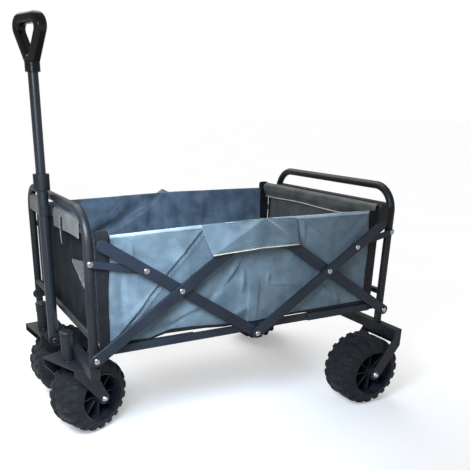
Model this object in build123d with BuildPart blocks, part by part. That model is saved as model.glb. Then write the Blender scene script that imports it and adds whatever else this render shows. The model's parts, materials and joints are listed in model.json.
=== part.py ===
"""Folding beach cart: two end frames joined by a scissor linkage, a fabric basket,
four balloon wheels (the front pair on casters) and a telescopic pull handle.

Millimetres. +X runs from the pull handle to the rear, -Y is the left side, +Z is up.
The origin is on the ground, midway between the outermost points.
"""

from build123d import *
from math import atan2, cos, degrees, hypot, pi, radians, sin, sqrt, tan
import os

# Overall sizes
half_length = 389.5  # middle of the cart to the posts of an end frame
outer_face = 268.0  # middle of the cart to the outer face of the outer bars
pivot_height = 240.0  # lower pivots of the scissor above the ground
bar_angle = 33.0  # slope of the scissor bars with the cart open, degrees
fold_angle = 77.0  # slope of the scissor bars with the cart folded, degrees

# Scissor bars, links and their layers, counted inwards from outer_face
bar_width = 24.0
bar_thick = 6.0
bar_wall = 1.2
layer_gap = 0.4
link_width = 15.0
link_thick = 2.5
link_share = 0.40  # link pin beyond the crossing, as a share of the half bar
front_corner_reach = 365.0  # middle of the cart to the upper end of a front corner bar
rear_corner_reach = 345.0  # and of a rear corner bar
rivet_radius = 4.0
rivet_head_radius = 6.5
rivet_head_height = 2.6
front_cap_width = 26.0
front_cap_height = 30.0
rear_cap_width = 28.0
rear_cap_height = 49.0
spacer_radius = 7.0
pin_clearance = 0.08
face_gap = 0.2

# End frames
tube_radius = 9.5
tube_wall = 1.4
hoop_bend_radius = 60.0
front_hoop_top = 541.0
rear_hoop_top = 549.0
lower_tube_radius = 8.0
lower_tube_height = 284.0
rod_radius = 6.0
rod_height = 513.0
rear_rod_height = 505.0
beam_depth = 22.0
beam_height = 24.0
beam_wall = 2.0
front_beam_top = 216.0
rear_beam_top = 204.0

# Wheels
wheel_radius = 90.0
wheel_width = 104.0
tyre_shoulder = 24.0
rim_radius = 58.0
rim_wall = 3.0
rim_dish = 30.0
hub_radius = 15.0
hub_width = 106.0
axle_radius = 5.0
axle_nut_radius = 8.0
axle_nut_height = 6.0
rib_count = 8
rib_thick = 2.6
rear_wheel_side = 262.0  # middle of the cart to the middle of a rear wheel
rear_lead = 58.5  # rear axle forward of the rear posts

# Casters and rear wheel brackets
caster_side = 118.0  # middle of the cart to the swivel axis
caster_trail = 56.0
left_caster_turn = 24.0  # degrees about +Z that each caster stands at
right_caster_turn = 7.0
housing_radius = 13.0
housing_seat = 0.5  # housing let into the front of the beam
housing_bottom = 194.0
housing_top = 254.0
cap_radius = 15.0
cap_height = 7.0
stem_radius = 8.0
race_radius = 12.0
fork_plate = 4.0
fork_front = 27.0
fork_back = 30.0
fork_corner = 5.0
tyre_clearance = 6.0
arm_gap = 1.0  # between the hub and a fork arm
arm_end_radius = 14.0

# Pull handle
handle_forward = 24.5  # handle axis in front of the front posts
handle_pivot_height = 203.0
outer_tube_radius = 12.5
outer_tube_wall = 1.4
inner_tube_wall = 1.5
tube_fit = 0.08
outer_tube_top = 572.0
collar_radius = 18.0
collar_bottom = 557.0
collar_top = 592.0
inner_tube_bottom = 500.0
grip_bottom = 799.0
grip_top = 911.0
grip_half_width = 50.0
grip_bar = 21.0
grip_hole_lobe = 9.0
grip_round = 7.0
grip_socket_depth = 22.0
grip_depth = 25.0
grip_socket_radius = 16.0
grip_turn = 20.0  # the round tube lets the grip stand a little turned
handle_travel = 200.0
ear_thick = 4.0
ear_gap = 1.0

# Floor rails
rail_thick = 10.0
rail_height = 18.0
rail_level = 250.5
rail_inset = 45.0  # rail pivot inboard of the post
rail_side = 245.0  # middle of the cart to the middle of a rail
rail_lap = 78.0
rail_bracket_thick = 4.0

# Basket fabric
cloth = 3.0
cloth_gap = 0.3
front_panel_end = 379.7  # middle of the cart to the outer face of the front panel
rear_panel_end = 356.0  # and of the rear panel, which hangs from the corner bars
panel_side = 247.0  # middle of the cart to the outer face of a side panel
rim_height = 497.0
front_panel_top = 505.0
rear_panel_top = 497.5
floor_level = 262.5
flap_front = 125.0
flap_rear = 98.0
flap_bottom = 437.0
flap_top = 506.5
flap_crown = 30.0  # half width of a flap over the top pivot
flap_stand = 3.0  # flap outside the outer face of the bars


def rounded_reach(turned, along, sideways, corner):
    """How far a rounded rectangle turned in plan reaches forward of its middle."""
    angle = radians(turned)
    return (along - corner) * cos(angle) + (sideways - corner) * sin(angle) + corner


def caster_reach(turned):
    """How far the fork and wheel of a turned caster reach forward of its swivel axis."""
    wheel = rounded_reach(turned, wheel_radius, wheel_width / 2, tyre_shoulder)
    plate = rounded_reach(turned, fork_front, arm_side + fork_plate, fork_corner)
    return max(wheel - caster_trail * cos(radians(turned)), plate)


# Values worked out from the sizes above
arm_side = hub_width / 2 + arm_gap
casters_reach = max(caster_reach(left_caster_turn), caster_reach(right_caster_turn))
swivel_forward = beam_depth / 2 + housing_radius - housing_seat
front_reach = half_length + swivel_forward + casters_reach
rear_reach = half_length - rear_lead + wheel_radius
mid_x = (front_reach - rear_reach) / 2
front_x = mid_x - half_length
rear_x = mid_x + half_length
half_bar = half_length / 2 / cos(radians(bar_angle))
rise = half_length / 2 * tan(radians(bar_angle))
link_reach = half_bar * link_share
link_pin_height = pivot_height + (
    2
    * half_bar
    * link_share
    * (sin(radians(bar_angle)) + sin(radians(fold_angle)))
    / (1 + link_share)
)
outer_bar_side = outer_face - bar_thick
inner_bar_side = outer_bar_side - layer_gap - bar_thick
link_side = inner_bar_side - layer_gap - link_thick
post_side = link_side - layer_gap - tube_radius
swivel_x = front_x - swivel_forward
rear_axle_x = rear_x - rear_lead
handle_x = front_x - handle_forward
inner_tube_radius = outer_tube_radius - outer_tube_wall - tube_fit
LEFT, RIGHT = -1, 1
SIDES = ((LEFT, "left"), (RIGHT, "right"))

os.makedirs("parts", exist_ok=True)


def save(builder, name):
    """Label a finished piece and write it to its own file."""
    builder.part.label = name
    export_step(builder.part, f"parts/{name}.step")


def side_plane(side, inner, thick):
    """Upright plane whose extrusion by thick fills inner to inner + thick on a side."""
    return Plane.XZ.offset(inner if side == LEFT else -(inner + thick))


def across(side, x, inner, z):
    """Location whose +Z points out of the cart on a side, at a distance from its middle."""
    return Location((x, side * inner, z), (-90 * side, 0, 0))


def along_y(x, y, z):
    """Location whose +Z points along +Y."""
    return Location((x, y, z), (-90, 0, 0))


# Scissor points seen from the side: x, z


def side_point(end, name):
    """Pivot of the front (-1) or rear (1) half of the scissor."""
    corner_reach = front_corner_reach if end == -1 else rear_corner_reach
    points = {
        "foot": (half_length, pivot_height),
        "crossing": (half_length / 2, pivot_height + rise),
        "bottom": (0, pivot_height),
        "top": (0, pivot_height + 2 * rise),
        "link_pin": (half_length, link_pin_height),
        "link_end": (
            half_length / 2 + link_reach * cos(radians(bar_angle)),
            pivot_height + rise + link_reach * sin(radians(bar_angle)),
        ),
        "corner": (
            corner_reach,
            pivot_height + corner_reach * tan(radians(bar_angle)),
        ),
        "rail_pin": (half_length - rail_inset, rail_level),
    }
    reach, height = points[name]
    return mid_x + end * reach, height


def strip(start, end, width):
    """Round-ended strip between two points of the current sketch."""
    reach = hypot(end[0] - start[0], end[1] - start[1])
    slope = degrees(atan2(end[1] - start[1], end[0] - start[0]))
    with Locations(((start[0] + end[0]) / 2, (start[1] + end[1]) / 2)):
        SlotCenterToCenter(reach, width, rotation=slope)


def scissor_bar(side, inner, start, end, holes):
    """Hollow flat bar with round ends, drilled for its pivots."""
    with BuildPart() as bar:
        with BuildSketch(side_plane(side, inner, bar_thick)):
            strip(start, end, bar_width)
        extrude(amount=bar_thick)
        with BuildSketch(side_plane(side, inner + bar_wall, bar_thick - 2 * bar_wall)):
            strip(start, end, bar_width - 2 * bar_wall)
        extrude(amount=bar_thick - 2 * bar_wall, mode=Mode.SUBTRACT)
        for x, z in holes:
            with Locations(across(side, x, inner + bar_thick / 2, z)):
                Cylinder(rivet_radius + pin_clearance, 2 * bar_thick, mode=Mode.SUBTRACT)
    return bar


def make_scissor():
    """Four bars a side, each with its own pivots."""
    layers = {"outer": outer_bar_side, "inner": inner_bar_side}
    bars = {
        "front_outer_bar": ("outer", -1, "foot", "top", ("foot", "crossing", "top")),
        "front_corner_bar": ("inner", -1, "bottom", "corner", ("bottom", "crossing", "link_end")),
        "rear_inner_bar": ("inner", 1, "foot", "top", ("foot", "crossing", "top")),
        "rear_corner_bar": ("outer", 1, "bottom", "corner", ("bottom", "crossing", "link_end")),
    }
    for name, (layer, end, low, high, pins) in bars.items():
        holes = [side_point(end, pin) for pin in pins]
        for side, word in SIDES:
            bar = scissor_bar(
                side, layers[layer], side_point(end, low), side_point(end, high), holes
            )
            save(bar, f"{name}_{word}")


def rivet(head, foot, spacer):
    """Rivet along +Z from foot to the underside of its head, with a spacer sleeve or None."""
    with BuildPart() as pin:
        with Locations((0, 0, foot)):
            Cylinder(
                rivet_radius,
                head - foot + 0.5,
                align=(Align.CENTER, Align.CENTER, Align.MIN),
            )
        with BuildSketch(Plane.XY.offset(head)):
            Circle(rivet_head_radius)
        extrude(amount=rivet_head_height)
        fillet(pin.edges().group_by(Axis.Z)[-1], rivet_head_height * 0.8)
        if spacer:
            with BuildSketch(Plane.XY.offset(spacer[0])):
                Circle(spacer_radius)
            extrude(amount=spacer[1] - spacer[0])
    return pin.part


def pin_group(name, pins):
    """Rivets of one body on both sides: (point, head underside, foot, spacer) for each."""
    with BuildPart() as group:
        for (x, z), head, foot, spacer in pins:
            piece = rivet(head, foot, spacer)
            for side, _ in SIDES:
                with Locations(across(side, x, 0, z)):
                    add(piece)
    save(group, name)


def make_pins():
    """Silver pivot rivets, each group carried by one moving body."""
    outer_head = outer_face + face_gap
    inner_head = inner_bar_side + bar_thick + face_gap
    link_top = link_side + link_thick + face_gap
    post_top = post_side + tube_radius + face_gap
    outer_foot = outer_bar_side - face_gap
    inner_foot = inner_bar_side - face_gap
    pin_group(
        "front_frame_rivets",
        [
            (side_point(-1, "foot"), outer_head, post_side, (post_top, outer_foot)),
            (side_point(-1, "link_pin"), link_top, post_side, None),
        ],
    )
    pin_group(
        "rear_frame_rivets",
        [(side_point(1, "link_pin"), link_top, post_side, None)],
    )
    pin_group(
        "front_outer_bar_rivets",
        [
            (side_point(-1, "crossing"), outer_head, inner_bar_side, None),
            (side_point(-1, "top"), outer_head, inner_bar_side, None),
        ],
    )
    pin_group(
        "front_corner_bar_rivets",
        [
            (side_point(-1, "bottom"), outer_head, inner_bar_side, None),
            (side_point(-1, "link_end"), inner_head, inner_bar_side, None),
        ],
    )
    pin_group(
        "rear_inner_bar_rivets",
        [
            (side_point(1, "crossing"), outer_head, inner_bar_side, None),
            (side_point(1, "foot"), inner_head, post_side, (post_top, inner_foot)),
        ],
    )
    pin_group(
        "rear_corner_bar_rivets",
        [(side_point(1, "link_end"), outer_head, link_top, (link_top, outer_foot))],
    )


def make_links():
    """Short links from each post to the corner bar beside it, with an open outer end."""
    for end, word in ((-1, "front"), (1, "rear")):
        pin, tip = side_point(end, "link_pin"), side_point(end, "link_end")
        with BuildPart() as links:
            for side, _ in SIDES:
                with BuildSketch(side_plane(side, link_side, link_thick)):
                    strip(pin, tip, link_width)
                    with Locations(pin):
                        Circle(rivet_radius + pin_clearance, mode=Mode.SUBTRACT)
                extrude(amount=link_thick)
        save(links, f"{word}_links")


def make_corner_caps():
    """Upright plastic ends of the corner bars, which hold the corners of the basket."""
    for end, word, inner, width, height in (
        (-1, "front", inner_bar_side, front_cap_width, front_cap_height),
        (1, "rear", outer_bar_side, rear_cap_width, rear_cap_height),
    ):
        x, z = side_point(end, "corner")
        with BuildPart() as caps:
            for side, _ in SIDES:
                with BuildSketch(side_plane(side, inner, bar_thick)):
                    with Locations((x, z + height / 2)):
                        RectangleRounded(width, height, 6.0)
                extrude(amount=bar_thick)
                with BuildSketch(side_plane(side, inner, bar_thick)):
                    strip(side_point(end, "bottom"), (x, z), bar_width + 0.1)
                extrude(amount=bar_thick, mode=Mode.SUBTRACT)
        save(caps, f"{word}_corner_caps")


def hoop_route(x, bottom, top):
    """Centre line of an end frame's hoop: an inverted U across the cart."""
    with BuildLine(Plane.YZ.offset(x)) as route:
        FilletPolyline(
            (-post_side, bottom),
            (-post_side, top),
            (post_side, top),
            (post_side, bottom),
            radius=hoop_bend_radius,
        )
    return route.line


def hoop(x, bottom, top, holes):
    """Inverted U of round tube, drilled through its outer walls for the pivots."""
    with BuildPart() as frame:
        with BuildSketch(Plane.XY.offset(bottom)):
            with Locations((x, -post_side)):
                Circle(tube_radius)
                Circle(tube_radius - tube_wall, mode=Mode.SUBTRACT)
        sweep(path=hoop_route(x, bottom, top))
        for pin_x, pin_z in holes:
            for side, _ in SIDES:
                with Locations(across(side, pin_x, post_side + tube_radius, pin_z)):
                    Cylinder(
                        rivet_radius + pin_clearance, 2 * tube_radius + 1, mode=Mode.SUBTRACT
                    )
    return frame


def hoop_reach(z, top):
    """Middle of the cart to the hoop's centre line at a height."""
    climb = max(0, z - top + hoop_bend_radius)
    return post_side - hoop_bend_radius + sqrt(hoop_bend_radius**2 - climb**2)


def cross_tube(x, z, radius, wall, bottom, top):
    """Straight tube between the two sides of a hoop, coped to fit against them."""
    reach = hoop_reach(z, top)
    with BuildPart() as tube:
        with Locations(along_y(x, 0, z)):
            Cylinder(radius, 2 * reach)
            if wall:
                Cylinder(radius - wall, 2 * reach, mode=Mode.SUBTRACT)
        with BuildSketch(Plane.XY.offset(bottom)):
            with Locations((x, -post_side)):
                Circle(tube_radius + 0.05)
        sweep(path=hoop_route(x, bottom, top), mode=Mode.SUBTRACT)
    return tube


def beam(x, top, half_width):
    """Box-section beam across the cart under an end frame, its ends closed."""
    with BuildPart() as box:
        with Locations((x, 0, top - beam_height / 2)):
            Box(beam_depth, 2 * half_width, beam_height)
            Box(
                beam_depth - 2 * beam_wall,
                2 * half_width - 2 * beam_wall,
                beam_height - 2 * beam_wall,
                mode=Mode.SUBTRACT,
            )
    return box


def make_end_frames():
    """Hoops, cross tubes, fabric rods and beams of both ends."""
    rear_half = rear_wheel_side + arm_side + fork_plate
    frames = (
        (-1, "front", front_beam_top, front_hoop_top, rod_height, post_side + tube_radius),
        (1, "rear", rear_beam_top, rear_hoop_top, rear_rod_height, rear_half),
    )
    for end, word, bottom, top, rod_z, beam_half in frames:
        x = mid_x + end * half_length
        pins = [side_point(end, "foot"), side_point(end, "link_pin")]
        save(hoop(x, bottom, top, pins), f"{word}_hoop")
        lower = cross_tube(x, lower_tube_height, lower_tube_radius, tube_wall, bottom, top)
        save(lower, f"{word}_lower_tube")
        save(cross_tube(x, rod_z, rod_radius, 0, bottom, top), f"{word}_panel_rod")
        save(beam(x, bottom, beam_half), f"{word}_beam")


def make_rail_brackets():
    """Plates on the posts that carry the pivots of the floor rails, with those pivots."""
    inner = rail_side - rail_thick / 2 - face_gap - rail_bracket_thick
    for end, word in ((-1, "front"), (1, "rear")):
        pin_x, pin_z = side_point(end, "rail_pin")
        post_x = mid_x + end * half_length
        with BuildPart() as brackets:
            for side, _ in SIDES:
                with BuildSketch(side_plane(side, inner, rail_bracket_thick)):
                    strip((post_x, pin_z), (pin_x, pin_z), 22.0)
                extrude(amount=rail_bracket_thick)
                with Locations(across(side, pin_x, inner + rail_bracket_thick, pin_z)):
                    Cylinder(
                        rivet_radius,
                        rail_thick + face_gap,
                        align=(Align.CENTER, Align.CENTER, Align.MIN),
                    )
            with Locations((post_x, -post_side, pin_z), (post_x, post_side, pin_z)):
                Cylinder(tube_radius + 0.05, 40, mode=Mode.SUBTRACT)
        save(brackets, f"{word}_rail_brackets")


def make_rails():
    """Floor rails in two halves a side, lapped side by side at the middle of the cart."""
    lap_thick = (rail_thick - layer_gap) / 2
    for end, word in ((-1, "front"), (1, "rear")):
        pin = side_point(end, "rail_pin")
        middle = (mid_x, rail_level)
        shoulder = mid_x + end * rail_lap
        with BuildPart() as rails:
            for side, _ in SIDES:
                inner = rail_side - rail_thick / 2
                with BuildSketch(side_plane(side, inner, rail_thick)):
                    strip(pin, (shoulder, rail_level), rail_height)
                    with Locations(pin):
                        Circle(rivet_radius + pin_clearance, mode=Mode.SUBTRACT)
                extrude(amount=rail_thick)
                tongue = inner if end == 1 else inner + rail_thick - lap_thick
                spare = inner if end == -1 else inner + lap_thick
                with BuildSketch(side_plane(side, spare, rail_thick - lap_thick)):
                    with Locations((shoulder, rail_level)):
                        Rectangle(2 * rail_lap, 2 * rail_height)
                extrude(amount=rail_thick - lap_thick, mode=Mode.SUBTRACT)
                with BuildSketch(side_plane(side, tongue, lap_thick)):
                    strip(middle, (shoulder, rail_level), rail_height)
                extrude(amount=lap_thick)
        save(rails, f"{word}_rails")


def make_tyre():
    """Balloon tyre about +Z with rounded shoulders, open in the middle for its rim."""
    with BuildPart() as tyre:
        with BuildSketch(Plane.XZ) as section:
            with Locations(((rim_radius + wheel_radius) / 2, 0)):
                Rectangle(wheel_radius - rim_radius, wheel_width)
            fillet(section.vertices().group_by(Axis.X)[-1], tyre_shoulder)
            fillet(section.vertices().group_by(Axis.X)[0], 3.0)
        revolve(axis=Axis.Z)
    return tyre.part


def make_rim():
    """Moulded rim about +Z: barrel, dished web, hub and radial ribs on both faces."""
    barrel_half = wheel_width / 2 - 4.0
    web = 4.0
    with BuildPart() as rim:
        with BuildSketch(Plane.XZ):
            with BuildLine():
                Polyline(
                    (axle_radius + pin_clearance, -hub_width / 2),
                    (hub_radius, -hub_width / 2),
                    (hub_radius, -web),
                    (rim_radius - rim_wall, -web),
                    (rim_radius - rim_wall, -barrel_half),
                    (rim_radius - 0.1, -barrel_half),
                    (rim_radius - 0.1, barrel_half),
                    (rim_radius - rim_wall, barrel_half),
                    (rim_radius - rim_wall, web),
                    (hub_radius, web),
                    (hub_radius, hub_width / 2),
                    (axle_radius + pin_clearance, hub_width / 2),
                    close=True,
                )
            make_face()
        revolve(axis=Axis.Z)
        for face in (1, -1):
            with BuildSketch(Plane.XY.offset(face * web)):
                with PolarLocations((hub_radius + rim_radius - rim_wall) / 2, rib_count):
                    Rectangle(rim_radius - rim_wall - hub_radius + 2, rib_thick)
            extrude(amount=face * rim_dish)
    return rim.part


def make_axle():
    """Axle rod along +Z with a domed nut outside each fork arm."""
    arm_out = arm_side + fork_plate
    with BuildPart() as axle:
        Cylinder(axle_radius, 2 * arm_out + 2 * face_gap)
        for face in (1, -1):
            with BuildSketch(Plane.XY.offset(face * (arm_out + face_gap))):
                Circle(axle_nut_radius)
            extrude(amount=face * axle_nut_height, taper=35)
    return axle.part


def place_wheel(name, place):
    """Tyre and rim of one wheel, each in its own file."""
    for word, piece in (("tyre", make_tyre()), ("rim", make_rim())):
        with BuildPart() as placed:
            with Locations(place):
                add(piece)
        save(placed, f"{name}_{word}")


def caster_place(side):
    """Frame of a caster: its swivel axis, with +X along the rolling direction."""
    turned = left_caster_turn if side == LEFT else right_caster_turn
    return Location((swivel_x, side * caster_side, 0), (0, 0, turned))


def fork_body():
    """Caster fork about its swivel axis: stem, race, crown plate and two arms."""
    crown_bottom = wheel_radius * 2 + tyre_clearance
    arm_out = arm_side + fork_plate
    with BuildPart() as fork:
        with BuildSketch(Plane.XY.offset(crown_bottom)):
            with Locations(((fork_back - fork_front) / 2, 0)):
                RectangleRounded(fork_front + fork_back, 2 * arm_out, fork_corner)
        extrude(amount=fork_plate)
        for side in (LEFT, RIGHT):
            with BuildSketch(side_plane(side, arm_side, fork_plate)):
                with BuildLine():
                    Polyline(
                        (-fork_front, crown_bottom + fork_plate),
                        (-fork_front, crown_bottom - 14),
                        (caster_trail - arm_end_radius, wheel_radius),
                        (caster_trail + arm_end_radius, wheel_radius),
                        (fork_back, crown_bottom - 14),
                        (fork_back, crown_bottom + fork_plate),
                        close=True,
                    )
                make_face()
                with Locations((caster_trail, wheel_radius)):
                    Circle(arm_end_radius)
                    Circle(axle_radius + pin_clearance, mode=Mode.SUBTRACT)
            extrude(amount=fork_plate)
        with BuildSketch(Plane.XY.offset(crown_bottom + fork_plate)):
            Circle(race_radius)
        extrude(amount=housing_bottom - crown_bottom - fork_plate - face_gap)
        with BuildSketch(Plane.XY.offset(housing_bottom - face_gap)):
            Circle(stem_radius)
        extrude(amount=housing_top - housing_bottom + 2 * face_gap)
        with BuildSketch(Plane.XY.offset(housing_top + face_gap)) as cap:
            Circle(cap_radius)
        extrude(amount=cap_height)
        top_edges = fork.edges().group_by(Axis.Z)[-1]
        fillet(top_edges, cap_height * 0.6)
    return fork.part


def make_casters():
    """Swivel housings on the front beam, and a fork, axle and wheel in each."""
    fork, axle = fork_body(), make_axle()
    for side, word in SIDES:
        with BuildPart() as housing:
            with Locations((swivel_x, side * caster_side, (housing_bottom + housing_top) / 2)):
                Cylinder(housing_radius, housing_top - housing_bottom)
                Cylinder(
                    stem_radius + pin_clearance, housing_top - housing_bottom, mode=Mode.SUBTRACT
                )
            with Locations((front_x, 0, front_beam_top - beam_height / 2)):
                Box(beam_depth, 4 * caster_side, beam_height, mode=Mode.SUBTRACT)
        save(housing, f"caster_housing_{word}")
        with BuildPart() as placed_fork:
            with Locations(caster_place(side)):
                add(fork)
        save(placed_fork, f"caster_fork_{word}")
        hub = caster_place(side) * Location((caster_trail, 0, wheel_radius), (-90, 0, 0))
        with BuildPart() as placed_axle:
            with Locations(hub):
                add(axle)
        save(placed_axle, f"caster_axle_{word}")
        place_wheel(f"front_wheel_{word}", hub)


def make_rear_wheels():
    """Brackets under the rear beam, with an axle and a wheel in each."""
    plate_top = rear_beam_top - beam_height
    arm_out = arm_side + fork_plate
    axle = make_axle()
    back = beam_depth / 2
    for side, word in SIDES:
        middle = side * rear_wheel_side
        with BuildPart() as bracket:
            with Locations((rear_x, middle, plate_top - fork_plate / 2)):
                Box(beam_depth, 2 * arm_out, fork_plate)
            with Locations((rear_x + back - fork_plate / 2, middle, plate_top - 10)):
                Box(fork_plate, 2 * arm_out, 20)
            for face in (LEFT, RIGHT):
                plane = side_plane(face, arm_side, fork_plate)
                plane.origin += Vector(0, middle, 0)
                with BuildSketch(plane):
                    with BuildLine():
                        Polyline(
                            (rear_x - back, plate_top),
                            (rear_axle_x - arm_end_radius * 0.9, wheel_radius + 6),
                            (rear_axle_x + arm_end_radius * 0.9, wheel_radius - 6),
                            (rear_x + back, plate_top - 20),
                            (rear_x + back, plate_top),
                            close=True,
                        )
                    make_face()
                    with Locations((rear_axle_x, wheel_radius)):
                        Circle(arm_end_radius)
                        Circle(axle_radius + pin_clearance, mode=Mode.SUBTRACT)
                extrude(amount=fork_plate)
        save(bracket, f"rear_wheel_bracket_{word}")
        hub = Location((rear_axle_x, middle, wheel_radius), (-90, 0, 0))
        place_wheel(f"rear_wheel_{word}", hub)
    with BuildPart() as axles:
        for side, _ in SIDES:
            with Locations(along_y(rear_axle_x, side * rear_wheel_side, wheel_radius)):
                add(axle)
    save(axles, "rear_axles")


def make_handle_mount():
    """Bracket on the front beam, its hinge pin, and the clip that keeps the handle upright."""
    ear_side = outer_tube_radius + ear_gap
    beam_face = front_x - beam_depth / 2
    ear_radius = 16.0
    with BuildPart() as bracket:
        for side, _ in SIDES:
            with BuildSketch(side_plane(side, ear_side, ear_thick)):
                with Locations((handle_x, handle_pivot_height)):
                    Circle(ear_radius)
                with Locations(((handle_x + beam_face) / 2, handle_pivot_height)):
                    Rectangle(beam_face - handle_x, 2 * ear_radius)
                with BuildLine():
                    Polyline(
                        (beam_face, front_beam_top - beam_height - 8),
                        (beam_face, front_beam_top + 8),
                        (beam_face + 30, front_beam_top + 8),
                        (beam_face + 30, front_beam_top - beam_height - 8),
                        close=True,
                    )
                make_face(mode=Mode.SUBTRACT)
                with Locations((handle_x, handle_pivot_height)):
                    Circle(rivet_radius + pin_clearance, mode=Mode.SUBTRACT)
            extrude(amount=ear_thick)
    save(bracket, "handle_bracket")
    ear_out = ear_side + ear_thick
    with BuildPart() as pin:
        with Locations(along_y(handle_x, 0, handle_pivot_height)):
            Cylinder(rivet_radius, 2 * ear_out + 2 * face_gap)
        for side, _ in SIDES:
            with Locations(across(side, handle_x, ear_out + face_gap, handle_pivot_height)):
                Cylinder(
                    rivet_head_radius,
                    rivet_head_height,
                    align=(Align.CENTER, Align.CENTER, Align.MIN),
                )
    save(pin, "handle_hinge_pin")
    clip_inner = outer_tube_radius + 0.3
    clip_outer = clip_inner + 3.2
    with BuildPart() as clip:
        with BuildSketch(Plane.XY.offset(rod_height - 11)):
            with Locations((handle_x, 0)):
                Circle(clip_outer)
            with Locations(((handle_x + front_x) / 2, 0)):
                Rectangle(front_x - handle_x, 2 * rod_radius + 6)
            with Locations((handle_x, 0)):
                Circle(clip_inner, mode=Mode.SUBTRACT)
            with Locations((handle_x - clip_outer - 2, 0)):
                Rectangle(2 * clip_outer, 2 * clip_inner, mode=Mode.SUBTRACT)
        extrude(amount=22)
        with Locations(along_y(front_x, 0, rod_height)):
            Cylinder(rod_radius + 0.05, 60, mode=Mode.SUBTRACT)
        with Locations((front_x + 20 - 0.5, 0, rod_height)):
            Box(40, 60, 40, mode=Mode.SUBTRACT)
    save(clip, "handle_clip")


def make_handle():
    """Outer tube with its collar, and the sliding inner tube with the D grip."""
    bore = outer_tube_radius - outer_tube_wall
    with BuildPart() as outer:
        with Locations((handle_x, 0, handle_pivot_height)):
            Sphere(outer_tube_radius)
            Cylinder(
                outer_tube_radius,
                outer_tube_top - handle_pivot_height,
                align=(Align.CENTER, Align.CENTER, Align.MIN),
            )
        with BuildSketch(Plane.XY.offset(handle_pivot_height + 14)):
            with Locations((handle_x, 0)):
                Circle(bore)
        extrude(amount=outer_tube_top, mode=Mode.SUBTRACT)
        with Locations(along_y(handle_x, 0, handle_pivot_height)):
            Cylinder(rivet_radius + pin_clearance, 60, mode=Mode.SUBTRACT)
    save(outer, "handle_outer_tube")
    with BuildPart() as collar:
        with BuildSketch(Plane.XY.offset(collar_bottom)):
            with Locations((handle_x, 0)):
                Circle(collar_radius)
                Circle(outer_tube_radius + 0.05, mode=Mode.SUBTRACT)
        extrude(amount=outer_tube_top - collar_bottom)
        with BuildSketch(Plane.XY.offset(outer_tube_top)):
            with Locations((handle_x, 0)):
                Circle(collar_radius)
                Circle(inner_tube_radius + tube_fit, mode=Mode.SUBTRACT)
        extrude(amount=collar_top - outer_tube_top)
    save(collar, "handle_collar")
    with BuildPart() as inner:
        with BuildSketch(Plane.XY.offset(inner_tube_bottom)):
            with Locations((handle_x, 0)):
                Circle(inner_tube_radius)
                Circle(inner_tube_radius - inner_tube_wall, mode=Mode.SUBTRACT)
        extrude(amount=grip_bottom + grip_socket_depth - inner_tube_bottom)
    save(inner, "handle_inner_tube")
    make_grip()


def make_grip():
    """D grip: a thick teardrop ring on a socket that takes the inner tube."""
    lobe = 26.0
    lobe_side = grip_half_width - lobe
    hole_side = grip_half_width - grip_bar - grip_hole_lobe
    with BuildPart() as grip:
        with BuildSketch(Plane.XZ.offset(-grip_depth / 2)):
            with Locations((-lobe_side, grip_top - lobe), (lobe_side, grip_top - lobe)):
                Circle(lobe)
            with Locations((0, grip_bottom + grip_socket_radius + 8)):
                Circle(grip_socket_radius)
            make_hull()
            with BuildSketch(mode=Mode.SUBTRACT):
                top = grip_top - grip_bar - grip_hole_lobe
                with Locations((-hole_side, top), (hole_side, top)):
                    Circle(grip_hole_lobe)
                with Locations((0, grip_bottom + 38)):
                    Circle(grip_hole_lobe / 2)
                make_hull()
        extrude(amount=grip_depth)
        rims = grip.faces().filter_by(Axis.Y).edges()
        fillet(rims, grip_round)
        with BuildSketch(Plane.XY.offset(grip_bottom)):
            Circle(grip_socket_radius)
        extrude(amount=24)
        with BuildSketch(Plane.XY.offset(grip_bottom - 1)):
            Circle(inner_tube_radius + 0.05)
        extrude(amount=grip_socket_depth + 1.05, mode=Mode.SUBTRACT)
    with BuildPart() as placed:
        with Locations(Location((handle_x, 0, 0), (0, 0, 90 + grip_turn))):
            add(grip.part)
    save(placed, "handle_grip")


def make_basket():
    """Plain closed solids for the fabric: sides, ends, floor and the flaps over the top pivots."""
    front_inner = mid_x - front_panel_end + cloth + cloth_gap
    rear_inner = mid_x + rear_panel_end - cloth - cloth_gap
    basket_mid = (front_inner + rear_inner) / 2
    basket_length = rear_inner - front_inner
    for side, word in SIDES:
        with BuildPart() as panel:
            with BuildSketch(side_plane(side, panel_side - cloth, cloth)):
                with Locations((basket_mid, (floor_level + rim_height) / 2)):
                    Rectangle(basket_length, rim_height - floor_level)
            extrude(amount=cloth)
        save(panel, f"side_panel_{word}")
    front_middle = front_inner - cloth_gap - cloth / 2
    rear_middle = rear_inner + cloth_gap + cloth / 2
    for x, word, top in (
        (front_middle, "front", front_panel_top),
        (rear_middle, "rear", rear_panel_top),
    ):
        with BuildPart() as panel:
            with Locations((x, 0, (floor_level + top) / 2)):
                Box(cloth, 2 * panel_side, top - floor_level)
        save(panel, f"{word}_end_panel")
    with BuildPart() as floor:
        with Locations((basket_mid, 0, floor_level + cloth / 2)):
            Box(basket_length, 2 * (panel_side - cloth - cloth_gap), cloth)
    save(floor, "basket_floor")
    flap_thick = 2.0
    strip_width = outer_face + flap_stand + flap_thick - panel_side + cloth
    with BuildPart() as flaps:
        for side, _ in SIDES:
            with BuildSketch(side_plane(side, outer_face + flap_stand, flap_thick)):
                with BuildLine():
                    Polyline(
                        (mid_x - flap_front, flap_bottom),
                        (mid_x + flap_rear, flap_bottom),
                        (mid_x + flap_crown, flap_top),
                        (mid_x - flap_crown, flap_top),
                        close=True,
                    )
                make_face()
            extrude(amount=flap_thick)
            with BuildSketch(side_plane(side, panel_side - cloth, strip_width)):
                with Locations((mid_x, flap_top + flap_thick / 2)):
                    Rectangle(2 * flap_crown, flap_thick)
            extrude(amount=strip_width)
    save(flaps, "top_pivot_flaps")


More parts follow.
